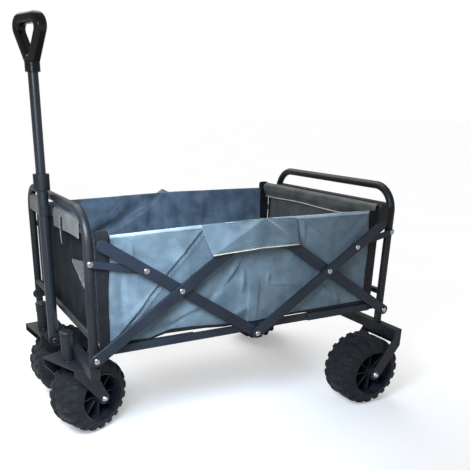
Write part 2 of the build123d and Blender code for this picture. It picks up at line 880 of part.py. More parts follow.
make_scissor()
make_pins()
make_links()
make_corner_caps()
make_end_frames()
make_rail_brackets()
make_rails()
make_casters()
make_rear_wheels()
make_handle_mount()
make_handle()
make_basket()
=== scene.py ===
import bpy
import json
import numpy as np
from math import atan2, cos, exp, hypot, pi, radians, sin
from mathutils import Matrix, Vector, noise


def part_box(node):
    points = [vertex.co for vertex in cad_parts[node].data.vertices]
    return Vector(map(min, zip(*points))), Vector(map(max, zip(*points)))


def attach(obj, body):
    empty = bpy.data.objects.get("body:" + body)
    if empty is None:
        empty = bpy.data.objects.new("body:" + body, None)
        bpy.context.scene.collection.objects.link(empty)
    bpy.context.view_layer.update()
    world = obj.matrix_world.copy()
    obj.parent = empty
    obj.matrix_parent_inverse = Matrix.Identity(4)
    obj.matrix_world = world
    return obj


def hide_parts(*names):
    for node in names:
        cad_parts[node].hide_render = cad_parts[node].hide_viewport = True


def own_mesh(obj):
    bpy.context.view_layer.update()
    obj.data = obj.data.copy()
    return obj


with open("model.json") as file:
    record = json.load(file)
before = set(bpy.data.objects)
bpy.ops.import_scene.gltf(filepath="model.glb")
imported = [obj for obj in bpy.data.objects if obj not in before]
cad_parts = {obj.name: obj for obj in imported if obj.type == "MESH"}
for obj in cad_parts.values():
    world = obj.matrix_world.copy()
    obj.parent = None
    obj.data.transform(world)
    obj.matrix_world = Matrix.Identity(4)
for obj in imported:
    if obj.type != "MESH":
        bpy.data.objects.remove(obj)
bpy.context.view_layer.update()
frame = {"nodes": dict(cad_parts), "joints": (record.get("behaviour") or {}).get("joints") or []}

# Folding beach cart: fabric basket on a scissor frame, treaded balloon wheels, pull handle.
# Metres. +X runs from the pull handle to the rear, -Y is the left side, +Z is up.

MM = 0.001
FRONT_POST = (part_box("front_hoop")[0].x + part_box("front_hoop")[1].x) / 2
REAR_POST = (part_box("rear_hoop")[0].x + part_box("rear_hoop")[1].x) / 2
MIDDLE = (FRONT_POST + REAR_POST) / 2
SIDES = ((-1, "left"), (1, "right"))
FORWARDS, UPWARDS = Vector((-1, 0, 0)), Vector((0, 0, 1))


# ---------------------------------------------------------------- camera

camera_data = bpy.data.cameras.new("front_left_view")
camera_data.sensor_width = 36
camera_data.lens = 45.812528
camera_data.shift_x, camera_data.shift_y = 0.1109319, 0.2082021
camera = bpy.data.objects.new("front_left_view", camera_data)
bpy.context.scene.collection.objects.link(camera)
yaw, pitch, roll = radians(25.8248), radians(20.6192), radians(0.1674)
STAND = (MIDDLE - 0.72359, -1.36312, 0.72968)
ahead = Vector((sin(yaw) * cos(pitch), cos(yaw) * cos(pitch), -sin(pitch)))
level = Vector((cos(yaw), -sin(yaw), 0))
upward = level.cross(ahead)
camera_right = cos(roll) * level + sin(roll) * upward
camera_up = -sin(roll) * level + cos(roll) * upward
camera.matrix_world = (
    Matrix.Translation(STAND)
    @ Matrix((camera_right, camera_up, -ahead)).transposed().to_4x4()
)
bpy.context.scene.camera = camera


# ---------------------------------------------------------------- materials


def paint(code):
    """sRGB hex colour as linear red, green, blue and alpha."""
    shares = [int(code[i : i + 2], 16) / 255 for i in (1, 3, 5)]
    return (*[s / 12.92 if s <= 0.04045 else ((s + 0.055) / 1.055) ** 2.4 for s in shares], 1)


def add(nodes, kind, links=(), **settings):
    """A shader node with its settings; links pairs each input with a value or an output."""
    made = nodes.new("ShaderNode" + kind)
    for name, value in settings.items():
        setattr(made, name, value)
    for socket, value in links:
        if isinstance(value, bpy.types.NodeSocket):
            nodes.id_data.links.new(value, made.inputs[socket])
        else:
            made.inputs[socket].default_value = value
    return made


def material(name, **constants):
    """A material with its own shader; underscores in the constants' names stand for spaces."""
    made = bpy.data.materials.new(name)
    made.use_nodes = True
    shader = made.node_tree.nodes["Principled BSDF"]
    for socket, value in constants.items():
        shader.inputs[socket.replace("_", " ")].default_value = value
    return made, made.node_tree.nodes, shader


def bands_scale(period):
    """Scale at which a wave texture repeats once a period."""
    return pi / 10 / period


def mottled(nodes, place, grain, dark, light, detail=4.0):
    """Two near colours mixed in soft patches of the size grain."""
    patches = add(nodes, "TexNoise", [("Vector", place), ("Scale", 1 / grain), ("Detail", detail)])
    ramp = add(nodes, "ValToRGB", [("Fac", patches.outputs["Fac"])])
    ramp.color_ramp.elements[0].position, ramp.color_ramp.elements[1].position = 0.32, 0.68
    ramp.color_ramp.elements[0].color, ramp.color_ramp.elements[1].color = paint(dark), paint(light)
    return patches, ramp.outputs["Color"]


def surface(nodes, shader, colour, bump, pattern, smooth, rough):
    """Colour and relief to the shader, with a roughness that runs from smooth to rough by pattern."""
    spread = add(nodes, "MapRange", [("Value", pattern), ("To Min", smooth), ("To Max", rough)])
    for socket, output in (
        ("Base Color", colour),
        ("Normal", bump.outputs["Normal"]),
        ("Roughness", spread.outputs["Result"]),
    ):
        nodes.id_data.links.new(output, shader.inputs[socket])


def powder_coated_steel(name, dark, light, smooth, rough):
    """Powder coat baked on steel: a satin skin with faint orange peel and soft bright edges."""
    made, nodes, shader = material(name, Metallic=0.0, IOR=1.5, Specular_IOR_Level=0.32)
    place = add(nodes, "TexCoord").outputs["Object"]
    patches, colour = mottled(nodes, place, 0.09, dark, light)
    # Orange peel is about 1.5 mm across
    peel = add(nodes, "TexNoise", [("Vector", place), ("Scale", 1 / (1.5 * MM)), ("Detail", 2.0)])
    # Pressed tube has edges of about 2.4 mm radius, which catch a thin line of light
    edge = add(nodes, "Bevel", [("Radius", 2.4 * MM)], samples=4)
    bump = add(
        nodes,
        "Bump",
        [("Strength", 0.12), ("Distance", 0.3 * MM), ("Height", peel.outputs["Fac"]),
         ("Normal", edge.outputs["Normal"])],
    )
    surface(nodes, shader, colour, bump, patches.outputs["Fac"], smooth, rough)
    return made


def plated_steel(name, dark, light, smooth, rough):
    """Zinc or nickel on turned steel: bright metal, slightly cloudy, with fine turning marks."""
    made, nodes, shader = material(name, Metallic=1.0)
    place = add(nodes, "TexCoord").outputs["Object"]
    clouds, colour = mottled(nodes, place, 6 * MM, dark, light)
    # Tool marks are near 0.3 mm; 0.8 mm is the least that shows
    marks = add(nodes, "TexNoise", [("Vector", place), ("Scale", 1 / (0.8 * MM)), ("Detail", 1.0)])
    edge = add(nodes, "Bevel", [("Radius", 0.8 * MM)], samples=4)
    bump = add(
        nodes,
        "Bump",
        [("Strength", 0.1), ("Distance", 0.1 * MM), ("Height", marks.outputs["Fac"]),
         ("Normal", edge.outputs["Normal"])],
    )
    surface(nodes, shader, colour, bump, clouds.outputs["Fac"], smooth, rough)
    return made


def painted_tube(name, dark, light):
    """Drawn aluminium tube under grey lacquer: faint draw lines run along it."""
    made, nodes, shader = material(name, Metallic=0.35, Coat_Weight=0.4, Coat_Roughness=0.2)
    place = add(nodes, "TexCoord").outputs["Object"]
    # Draw lines are under 1 mm wide and as long as the tube; drawn at 3 mm to show
    along = add(nodes, "Mapping", [("Vector", place), ("Scale", (333, 333, 3))])
    lines = add(nodes, "TexNoise", [("Vector", along.outputs["Vector"]), ("Detail", 3.0)])
    ramp = add(nodes, "ValToRGB", [("Fac", lines.outputs["Fac"])])
    ramp.color_ramp.elements[0].position, ramp.color_ramp.elements[1].position = 0.35, 0.65
    ramp.color_ramp.elements[0].color, ramp.color_ramp.elements[1].color = paint(dark), paint(light)
    draw = lines.outputs["Fac"]
    bump = add(nodes, "Bump", [("Strength", 0.2), ("Distance", 0.2 * MM), ("Height", draw)])
    surface(nodes, shader, ramp.outputs["Color"], bump, draw, 0.28, 0.42)
    return made


def moulded_plastic(name, dark, light, smooth, rough, grain, depth):
    """Injection-moulded nylon or polypropylene: even colour with a fine spark-eroded grain."""
    made, nodes, shader = material(name, IOR=1.52, Specular_IOR_Level=0.3)
    place = add(nodes, "TexCoord").outputs["Object"]
    patches, colour = mottled(nodes, place, 0.03, dark, light)
    skin = add(nodes, "TexVoronoi", [("Vector", place), ("Scale", 1 / grain)], feature="SMOOTH_F1")
    edge = add(nodes, "Bevel", [("Radius", 1.2 * MM)], samples=4)
    bump = add(
        nodes,
        "Bump",
        [("Strength", depth), ("Distance", 0.25 * MM), ("Height", skin.outputs["Distance"]),
         ("Normal", edge.outputs["Normal"])],
    )
    surface(nodes, shader, colour, bump, patches.outputs["Fac"], smooth, rough)
    return made


def tyre_rubber(name, dark, light):
    """Moulded rubber: matt near-black, with a little pale dust in its grain."""
    made, nodes, shader = material(name, IOR=1.52, Specular_IOR_Level=0.22, Sheen_Weight=0.06)
    place = add(nodes, "TexCoord").outputs["Object"]
    patches, colour = mottled(nodes, place, 0.018, dark, light, detail=6.0)
    skin = add(nodes, "TexNoise", [("Vector", place), ("Scale", 1 / (1.2 * MM)), ("Detail", 3.0)])
    grain = skin.outputs["Fac"]
    bump = add(nodes, "Bump", [("Strength", 0.25), ("Distance", 0.4 * MM), ("Height", grain)])
    surface(nodes, shader, colour, bump, patches.outputs["Fac"], 0.62, 0.82)
    return made


def woven(
    name, dark, light, yarn, across, along, smooth=0.6, rough=0.78, sheen=0.25, depth=0.5, gloss=0.2
):
    """Plain-woven polyester: painted highlight and shade make the crossing yarns small bright and dark
    squares, with a soft sheen.
    """
    # Light that grazes cloth is caught between the yarns, so it mirrors little
    made, nodes, shader = material(
        name, IOR=1.5, Specular_IOR_Level=gloss, Sheen_Weight=sheen, Sheen_Roughness=0.4
    )
    place = add(nodes, "TexCoord").outputs["Object"]
    patches, colour = mottled(nodes, place, 0.045, dark, light, detail=5.0)
    warp, weft = (
        add(
            nodes,
            "TexWave",
            [("Vector", place), ("Scale", bands_scale(yarn)), ("Distortion", 0.4),
             ("Detail", 1.0), ("Detail Scale", 0.5)],
            bands_direction=way,
        ).outputs["Fac"]
        for way in (across, along)
    )
    crossing = add(nodes, "Math", [(0, warp), (1, weft)], operation="MULTIPLY").outputs["Value"]
    # The yarns' shadows are painted shade, with painted highlight on their tops, and darken the cloth
    # only slightly
    weave = add(nodes, "MapRange", [("Value", crossing), ("To Min", 0.82), ("To Max", 1.12)])
    yarn_shaded_colour = add(
        nodes, "VectorMath", [(0, colour), ("Scale", weave.outputs["Result"])], operation="SCALE"
    )
    bump = add(nodes, "Bump", [("Strength", depth), ("Distance", 0.35 * MM), ("Height", crossing)])
    surface(
        nodes, shader, yarn_shaded_colour.outputs["Vector"], bump, patches.outputs["Fac"], smooth, rough
    )
    return made


BAR_STEEL = powder_coated_steel("powder_coated_steel_bars", "#181e26", "#222a34", 0.3, 0.42)
FRAME_STEEL = powder_coated_steel("powder_coated_steel_hoops", "#17191c", "#212428", 0.36, 0.48)
BRIGHT_NICKEL = plated_steel("nickel_plated_rivets", "#9a9fa6", "#cdd1d6", 0.2, 0.34)
ZINC = plated_steel("zinc_plated_axles", "#a4aab0", "#c8ccd0", 0.25, 0.42)
HANDLE_TUBE = painted_tube("lacquered_aluminium_tube", "#1c2126", "#282e34")
NYLON = moulded_plastic("black_moulded_nylon", "#101215", "#191c20", 0.48, 0.6, 1.2 * MM, 0.2)
GRIP_PLASTIC = moulded_plastic("glossy_grip_plastic", "#141414", "#1c1b1a", 0.16, 0.26, 3 * MM, 0.06)
RIM_PLASTIC = moulded_plastic("rim_polypropylene", "#1b2027", "#272d35", 0.36, 0.5, 1.5 * MM, 0.2)
RUBBER = tyre_rubber("black_tyre_rubber", "#121316", "#1e2023")
# 600-denier yarn is 0.5 mm; drawn at 3.2 mm so that the weave shows
YARN = 3.2 * MM
OXFORD = woven("steel_blue_oxford_polyester", "#50606a", "#6c7d86", YARN, "X", "Z")
COATED_BACK = woven(
    "slate_coated_polyester_back", "#4d5c6b", "#6c7e90", YARN, "X", "Z", 0.4, 0.55, 0.1, 0.3
)
FRONT_CLOTH = woven(
    "dark_grey_oxford_polyester", "#1e2124", "#2b2f32", YARN, "Y", "Z", sheen=0.0, gloss=0.03
)
END_CLOTH = woven("charcoal_oxford_polyester", "#343739", "#494c4d", YARN, "Y", "Z")
END_BACK = woven("charcoal_coated_back", "#4a4b48", "#63645f", YARN, "Y", "Z", 0.45, 0.6, 0.1, 0.3)
ROLL_CLOTH = woven("pale_grey_hem_cloth", "#83837f", "#a3a39e", YARN, "Y", "Z")
REAR_ROLL_CLOTH = woven("warm_grey_hem_cloth", "#5c5b53", "#807e71", YARN, "Y", "Z", 0.4, 0.6)
FLOOR_CLOTH = woven("slate_floor_polyester", "#35424f", "#485766", YARN, "X", "Y")
# Webbing ribs are 1.6 mm; drawn at 3 mm
BINDING = woven("black_webbing_binding", "#0d0f12", "#17191d", 3 * MM, "X", "Z", 0.6, 0.75, 0.2, 0.8)
END_BINDING = woven("black_end_webbing", "#0e1012", "#191b1e", 3 * MM, "Y", "Z", 0.6, 0.75, 0.2, 0.8)
PIPING = woven("cream_piping_cord", "#b9ae93", "#d8cfb8", 3 * MM, "X", "Y", 0.55, 0.7, 0.3, 0.5)
# The rim binding is real tape; its pale blue is a painted highlight along the top edge, where the
# folded hem catches the light
RIM_BINDING_HIGHLIGHT = woven("pale_blue_rim_binding", "#8ea3b3", "#aebfca", 3 * MM, "X", "Z")
THREAD = woven("bonded_dark_thread", "#26323d", "#3a4855", 1.5 * MM, "X", "Z", 0.45, 0.6, 0.3, 0.3)


def dress(finish, name):
    """Give a CAD node its finish."""
    mesh = frame["nodes"][name].data
    mesh.materials.clear()
    mesh.materials.append(finish)


for name in frame["nodes"]:
    if name.endswith("_rivets") or name == "handle_hinge_pin":
        dress(BRIGHT_NICKEL, name)
    elif "axle" in name:
        dress(ZINC, name)
    elif name.endswith("_tube") and name.startswith("handle"):
        dress(HANDLE_TUBE, name)
    elif name in ("handle_collar", "handle_clip") or name.endswith("corner_caps"):
        dress(NYLON, name)
    elif name == "handle_grip":
        dress(GRIP_PLASTIC, name)
    elif name.endswith("_rim"):
        dress(RIM_PLASTIC, name)
    elif name.endswith("_tyre"):
        dress(RUBBER, name)
    elif "_bar_" in name or name.endswith(("_links", "_rails")):
        dress(BAR_STEEL, name)
    elif "panel" not in name or name.endswith("_rod"):
        dress(FRAME_STEEL, name)


# ---------------------------------------------------------------- cloth making


def between(t, low, high):
    """The value that lies the share t of the way from low to high."""
    return low + (high - low) * t


def ease(t):
    """0 below 0 and 1 above 1, with a smooth rise between."""
    t = min(1.0, max(0.0, t))
    return t * t * (3 - 2 * t)


def table(points):
    """Straight-line interpolation through pairs, held flat outside them."""
    xs, ys = zip(*points)
    return lambda x: float(np.interp(x, xs, ys))


def piece(name, vertices, faces, finishes, zones=None):
    """A smooth-shaded mesh object; zones gives the finish of each face."""
    mesh = bpy.data.meshes.new(name)
    mesh.from_pydata([tuple(v) for v in vertices], [], faces)
    mesh.shade_smooth()
    for finish in finishes:
        mesh.materials.append(finish)
    if zones is not None:
        mesh.polygons.foreach_set("material_index", zones)
    made = bpy.data.objects.new(name, mesh)
    bpy.context.scene.collection.objects.link(made)
    return made


def settle(made):
    """Keep a piece's shape with its modifiers in the mesh."""
    final = bpy.data.meshes.new_from_object(made.evaluated_get(bpy.context.evaluated_depsgraph_get()))
    final.name = made.data.name
    made.modifiers.clear()
    made.data = final
    return made


def cloth(name, place, columns, rows, thick, outer, inner, zone=None, flip=False):
    """A thin sewn sheet over place(s, t), s and t from 0 to 1, with one finish on each face.

    zone(s, t) picks the finish of a strip, such as a binding; flip turns the outer face round.
    """
    points = [
        place(i / (columns - 1), j / (rows - 1)) for j in range(rows) for i in range(columns)
    ]
    faces, zones = [], []
    for j in range(rows - 1):
        for i in range(columns - 1):
            a = j * columns + i
            corner = (a, a + 1, a + columns + 1, a + columns)
            faces.append(corner[::-1] if flip else corner)
            s, t = (i + 0.5) / (columns - 1), (j + 0.5) / (rows - 1)
            zones.append(int(zone(s, t)) if zone else 0)
    made = piece(name, points, faces, [*outer, *inner], zones)
    solid = made.modifiers.new("thickness", "SOLIDIFY")
    solid.thickness, solid.offset = thick, -1
    solid.material_offset = len(outer)
    return settle(made)


def line_of(points):
    """Distances along a run of points."""
    return np.concatenate([[0], np.cumsum([(b - a).length for a, b in zip(points, points[1:])])])


# Across a tape: shares of its width and thickness, with its edges rounded off
TAPE_SECTION = ((-0.5, 0), (-0.42, 1), (0.42, 1), (0.5, 0))


def ribbon(name, path, away, width, thick, finish):
    """A flat tape along path; away points off the surface it lies on."""
    vertices, faces = [], []
    for k, point in enumerate(path):
        ahead_of = path[min(k + 1, len(path) - 1)] - path[max(k - 1, 0)]
        normal = away.normalized()
        side = normal.cross(ahead_of.normalized()).normalized()
        for u, v in TAPE_SECTION:
            vertices.append(point + side * width * u + normal * thick * v)
    for k in range(len(path) - 1):
        for e in range(4):
            a, b = 4 * k + e, 4 * k + (e + 1) % 4
            faces.append((a, a + 4, b + 4, b))
    end = 4 * (len(path) - 1)
    faces += [(0, 1, 2, 3), (end + 3, end + 2, end + 1, end)]
    return piece(name, vertices, faces, [finish])


def stitches(name, paths, away, finish, length=3.4 * MM, gap=2.2 * MM, height=0.7 * MM):
    """Short raised threads in rows along the paths, over cloth that faces away."""
    # Along a stitch: its place from end to end and its lift; it dips into the cloth at both ends
    arch = ((0, 0.15), (0.3, 1.0), (0.7, 1.0), (1, 0.15))
    vertices, faces = [], []
    for path in paths:
        run = line_of(path)
        coordinates = np.array([tuple(p) for p in path])
        start = gap
        while start + length < run[-1]:
            a, b = (
                Vector([float(np.interp(d, run, coordinates[:, k])) for k in range(3)])
                for d in (start, start + length)
            )
            normal = away.normalized()
            side = normal.cross((b - a).normalized()) * height * 0.6
            base = len(vertices)
            for share, lift in arch:
                point = a.lerp(b, share)
                vertices += [point - side, point + normal * height * lift, point + side]
            for k in range(3):
                q = base + 3 * k
                faces += [(q, q + 3, q + 4, q + 1), (q + 1, q + 4, q + 5, q + 2)]
                faces.append((q, q + 2, q + 5, q + 3))
            faces += [(base, base + 1, base + 2), (base + 11, base + 10, base + 9)]
            start += length + gap
    return piece(name, vertices, faces, [finish])


NOT_ALONG_ANY_CORD = Vector((0.13, 0.21, 1)).normalized()


def tube(name, path, radius, finish, around=10):
    """Round cord along a path, closed at both ends."""
    vertices, faces = [], []
    for k, point in enumerate(path):
        heading = (path[min(k + 1, len(path) - 1)] - path[max(k - 1, 0)]).normalized()
        aside = heading.cross(NOT_ALONG_ANY_CORD).normalized()
        other = heading.cross(aside)
        for e in range(around):
            turn = 2 * pi * e / around
            vertices.append(point + (aside * cos(turn) + other * sin(turn)) * radius)
    for k in range(len(path) - 1):
        for e in range(around):
            a, b = k * around + e, k * around + (e + 1) % around
            faces.append((a, b, b + around, a + around))
    last = (len(path) - 1) * around
    faces += [tuple(range(around))[::-1], tuple(last + e for e in range(around))]
    return piece(name, vertices, faces, [finish])


# ---------------------------------------------------------------- basket sides

panel_low, panel_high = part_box("side_panel_left")
PANEL_FRONT, PANEL_REAR = panel_low.x, panel_high.x
PANEL_FACE = -panel_low.y - 1.5 * MM
CLOTH_THICK = 1.1 * MM

# Distances in mm along X from the middle of the cart, heights in mm
SIDE_FRONT, SIDE_REAR = -376, 353
SIDE_LOW, SIDE_HIGH = 262, 498
LEFT_EDGE = table([(262, -353), (381, -352), (497, -345)])
RIGHT_EDGE = table([(262, 325), (400, 326), (500, 319)])
RIM_LINE = table([(-376, 493), (-253, 496), (-141, 498), (22, 501), (106, 500), (230, 499), (353, 497)])
SEAM_LINE = table([
    (-376, 269), (-340, 267), (-264, 264), (-240, 270), (-211, 277), (-162, 275), (-112, 271),
    (-46, 265), (9, 263.5), (79, 267), (137, 269), (229, 269), (353, 271),
])
HEM_LINE = table([
    (-376, 261), (-255, 261), (-225, 268), (-130, 265.5), (-80, 261), (60, 261), (80, 263.5),
    (140, 263.5), (165, 261), (353, 261),
])

# Creases: x0, z0, x1, z1, height, width, all in mm
LEFT_CREASES = [
    (-39, 416, -88, 353, 3.2, 7), (-30, 383, -33, 341, 2.2, 5), (35, 376, 37, 352, 1.6, 4),
    (37, 352, 111, 340, 1.6, 4), (234, 302, 248, 269, 2.6, 7), (109, 497, 214, 427, 1.6, 5),
    (-126, 330, -223, 286, 3.0, 9), (-163, 311, -259, 256, -2.6, 9), (-70, 372, -150, 300, -2.4, 10),
    (40, 425, 120, 372, -2.0, 12), (120, 460, 95, 400, 1.5, 6), (122, 492, 128, 440, 1.8, 5),
    (-310, 460, -240, 420, -1.8, 14), (-300, 470, -296, 440, 1.4, 6), (-330, 300, -262, 352, 2.4, 12),
    (-320, 420, -318, 309, -3.0, 9), (-200, 470, -170, 430, 1.6, 9), (-130, 470, -60, 430, -1.5, 10),
    (270, 400, 300, 300, -1.8, 12), (180, 330, 240, 285, 1.8, 9), (-75, 285, -20, 300, 2.0, 8),
    (60, 300, 90, 280, 1.8, 8), (300, 480, 240, 430, -1.6, 14), (150, 410, 200, 330, -2.0, 13),
]
RIGHT_CREASES = [
    (-39, 482, -184, 402, 6.0, 15), (-184, 402, -235, 330, 4.5, 14), (-153, 445, -300, 380, -4.0, 16),
    (-60, 480, -70, 400, -2.2, 12), (-260, 480, -330, 430, 3.0, 11), (30, 470, 60, 380, 2.0, 14),
    (120, 480, 110, 390, -2.2, 16), (200, 470, 240, 380, 2.0, 14), (-100, 400, -40, 320, 2.6, 10),
    (40, 350, 130, 290, -2.4, 12), (-300, 300, -220, 350, 2.2, 10), (220, 320, 290, 280, 2.0, 9),
    (-10, 450, 5, 300, 2.0, 10), (290, 460, 310, 350, -1.8, 12), (90, 430, 170, 410, 1.6, 8),
]
CREASE_DEPTH = 2.0
GENTLE_FLANK, SHARP_FLANK = 1.5, 0.6
# The felled seam that joins the corner gusset to the side
SEAM_A = [(-136, 489), (-220, 406), (-309, 308), (-338, 277)]
SEAM_B = [(-126, 484), (-206, 405), (-297, 304), (-322, 276)]


def from_segment(x, z, x0, z0, x1, z1):
    """Distance from a segment, and how far along it, from 0 to 1."""
    dx, dz = x1 - x0, z1 - z0
    t = ((x - x0) * dx + (z - z0) * dz) / (dx * dx + dz * dz)
    held = min(1.0, max(0.0, t))
    return hypot(x - x0 - held * dx, z - z0 - held * dz), held


def relief(x, z, creases):
    """How far the cloth stands out, in mm: soft billows, crumpling and sharp creases."""
    stand = 1.6 * sin(x / 61 + z / 83) + 1.3 * sin(x / 37 - z / 29 + 1.3)
    stand += 0.7 * sin(x / 13 + z / 17) * sin(z / 23 - x / 31)
    # The number of creases differs from side to side, so it sets the crumpling apart
    spot = Vector((x / 70, z / 52, len(creases)))
    stand += 1.1 * (noise.ridged_multi_fractal(spot, 1.0, 2.1, 3, 1.0, 2.0) - 1.2)
    for x0, z0, x1, z1, height, width in creases:
        away, along = from_segment(x, z, x0, z0, x1, z1)
        fade = sin(pi * (0.12 + 0.76 * along))
        # One flank of a crease is sharper than the other
        across = (x - x0) * (z1 - z0) - (z - z0) * (x1 - x0)
        flank = width * (GENTLE_FLANK if across > 0 else SHARP_FLANK)
        stand += CREASE_DEPTH * height * fade * exp(-((away / flank) ** 2))
    return stand


def pleat(x, z):
    """The box pressed into the middle of a side when the cart is folded."""
    inside = ease((x + 20) / 5) * ease((13 - x) / 5)
    return 3.2 * inside * ease((370 - z) / 25)


def seam_stand(x, z):
    """The doubled cloth of the felled seam."""
    lines = [*zip(SEAM_A, SEAM_A[1:]), *zip(SEAM_B, SEAM_B[1:])]
    away = min(from_segment(x, z, *a, *b)[0] for a, b in lines)
    return 1.3 * exp(-((away / 4.5) ** 2))


def side_out(side, x, z):
    """Outward distance of a side's outer face from the middle of the cart, in metres."""
    creases = LEFT_CREASES if side < 0 else RIGHT_CREASES
    pinned = ease((x - SIDE_FRONT) / 22) * ease((SIDE_REAR - x) / 22)
    held = ease((z - SEAM_LINE(x)) / 22 + 0.25) * ease((RIM_LINE(x) - z) / 16 + 0.3)
    stand = relief(x, z, creases) + (pleat(x, z) if side < 0 else 0)
    belly = 2.2 * sin(pi * min(1, max(0, (z - SIDE_LOW) / (SIDE_HIGH - SIDE_LOW))))
    return PANEL_FACE + MM * (pinned * held * (stand + belly) + pinned * seam_stand(x, z))


# Shares of a side's grid that its front and rear bindings and its hem take up
FRONT_STRIP, REAR_STRIP, HEM_STRIP = 0.035, 0.955, 0.06


def in_binding(s, t):
    return t < HEM_STRIP or s < FRONT_STRIP or s > REAR_STRIP


def side_place(side):
    """Place on a side's outer face: between the bindings, and from the hem up to the rim."""
    front, rear = (PANEL_FRONT - MIDDLE) / MM, (PANEL_REAR - MIDDLE) / MM

    def place(s, t):
        x = between(s, PANEL_FRONT, PANEL_REAR) - MIDDLE
        # The bindings lean, so x depends on a height that depends on x
        for _ in range(3):
            z_guess = between(t, 266, RIM_LINE(x / MM))
            left, right = LEFT_EDGE(z_guess), RIGHT_EDGE(z_guess)
            if s < FRONT_STRIP:
                x = between(s / FRONT_STRIP, front, left) * MM
            elif s < REAR_STRIP:
                x = between((s - FRONT_STRIP) / (REAR_STRIP - FRONT_STRIP), left, right) * MM
            else:
                x = between((s - REAR_STRIP) / (1 - REAR_STRIP), right, rear) * MM
        x_mm = x / MM
        seam, hem, rim = SEAM_LINE(x_mm), HEM_LINE(x_mm), RIM_LINE(x_mm)
        if t < HEM_STRIP:
            z = between(t / HEM_STRIP, hem, seam)
        else:
            z = between((t - HEM_STRIP) / (1 - HEM_STRIP), seam, rim)
        out = side_out(side, x_mm, z)
        # Binding and hem are bound tape, a little thicker than the cloth
        if in_binding(s, t):
            out += 0.5 * MM
        return Vector((MIDDLE + x, side * out, z * MM))

    return place


def fold_with_sides(made):
    """Ride on the front frame and close up with it along the cart."""
    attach(made, "front_frame")
    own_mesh(made)
    return made


def side_path(side, points, lift, spacing=6.0):
    """A run over a side's outer face through points in mm, a little above the cloth."""
    run = []
    for (x0, z0), (x1, z1) in zip(points, points[1:]):
        count = max(2, int(hypot(x1 - x0, z1 - z0) / spacing))
        run += [(between(k / count, x0, x1), between(k / count, z0, z1)) for k in range(count)]
    run.append(points[-1])
    return [
        Vector((MIDDLE + x * MM, side * (side_out(side, x, z) + lift), z * MM)) for x, z in run
    ]


for side, word in SIDES:
    panel = cloth(
        f"side_cloth_{word}", side_place(side), 245, 84, CLOTH_THICK,
        [OXFORD, BINDING], [COATED_BACK, BINDING], in_binding, flip=side > 0,
    )
    outwards = Vector((0, side, 0))
    rim_points = [(x, RIM_LINE(x) - 3.5) for x in np.linspace(-345, 319, 90)]
    # Rim binding tape; its pale colour is a painted highlight along the top edge
    rim_tape = ribbon(
        f"rim_binding_{word}", side_path(side, rim_points, 0.1 * MM), outwards, 8 * MM, 1.0 * MM,
        RIM_BINDING_HIGHLIGHT,
    )
    rows = [
        [(x, SEAM_LINE(x) + 2.5) for x in np.linspace(-345, 318, 90)],
        SEAM_A,
        [(x + 4, z - 3) for x, z in SEAM_A],
        SEAM_B,
        [(LEFT_EDGE(z) + 3, z) for z in np.linspace(282, 488, 30)],
        [(RIGHT_EDGE(z) - 3, z) for z in np.linspace(282, 488, 30)],
    ]
    thread = stitches(
        f"side_stitching_{word}", [side_path(side, row, 0.15 * MM) for row in rows], outwards,
        THREAD,
    )
    # A thin black cord along the felled seam is painted shadow for the dark line in the seam
    seam_shadow_cord = tube(f"seam_shadow_cord_{word}", side_path(side, SEAM_A, 0.5 * MM), 0.9 * MM, BINDING)
    rim_rows = [[(x, RIM_LINE(x) - drop) for x in np.linspace(-342, 316, 90)] for drop in (1.6, 5.6)]
    rim_thread = stitches(
        f"rim_stitching_{word}", [side_path(side, row, 1.1 * MM) for row in rim_rows], outwards,
        THREAD, height=0.5 * MM,
    )
    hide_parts(f"side_panel_{word}")
    for made in (panel, rim_tape, thread, rim_thread, seam_shadow_cord):
        fold_with_sides(made)


# ---------------------------------------------------------------- flaps over the top pivots

OUTER_BAR_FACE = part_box("front_outer_bar_right")[1].y
SKIRT_FACE = OUTER_BAR_FACE + 4.6 * MM
PANEL_TO_SKIRT = (SKIRT_FACE - PANEL_FACE) / MM
# Ridges where the cloth lies over the two bars that meet under it
RIDGE_TOP, RIDGE_SLOPE_LEFT, RIDGE_SLOPE_RIGHT = 508.5, 0.585, 0.68
HANGING_SHARE = 0.45  # of the skirt's rows, below the ridges
SKIRT_LEFT = table([(437, -125), (503, -141)])
SKIRT_RIGHT = table([(437, 98), (503, 106)])
SKIRT_BOTTOM = table([(-125, 437), (98, 441)])


def ridge_height(x):
    return RIDGE_TOP - abs(x) * (RIDGE_SLOPE_LEFT if x < 0 else RIDGE_SLOPE_RIGHT)


def skirt_place(side):
    """From the rim out to the ridges over the two bars, then straight down outside them."""

    def place(s, t):
        hanging = t < HANGING_SHARE
        risen = (t - HANGING_SHARE) / (1 - HANGING_SHARE)
        z = 470.0
        # The ends lean, so x depends on a height that depends on x
        for _ in range(4):
            x = between(s, SKIRT_LEFT(z), SKIRT_RIGHT(z))
            rim, low = RIM_LINE(x) + 0.8, SKIRT_BOTTOM(x)
            ridge = min(ridge_height(x), RIDGE_TOP - 1.0)
            crest = max(ridge, low)
            z = between(t / HANGING_SHARE, low, crest) if hanging else between(risen, crest, rim)
        # How far out the cloth lies, from 0 at the rim to 1 over the bars
        share = min(1.0, (rim - crest) / max(1.0, rim - ridge)) if crest > ridge else 1.0
        if not hanging:
            share *= 1 - risen
        folds = 1.3 * sin(x / 14 + z / 19) + 0.8 * sin(x / 7.3 - z / 31 + 0.8)
        folds *= ease(share * 2.5) * (0.9 if share < 0.99 else 0.35)
        slack = 2.2 * sin(pi * share) * (1 if abs(x) > 35 else abs(x) / 35)
        stand = share * PANEL_TO_SKIRT + folds - slack + 0.8 * (share > 0.99)
        return Vector((MIDDLE + x * MM, side * (PANEL_FACE + stand * MM), z * MM))

    return place


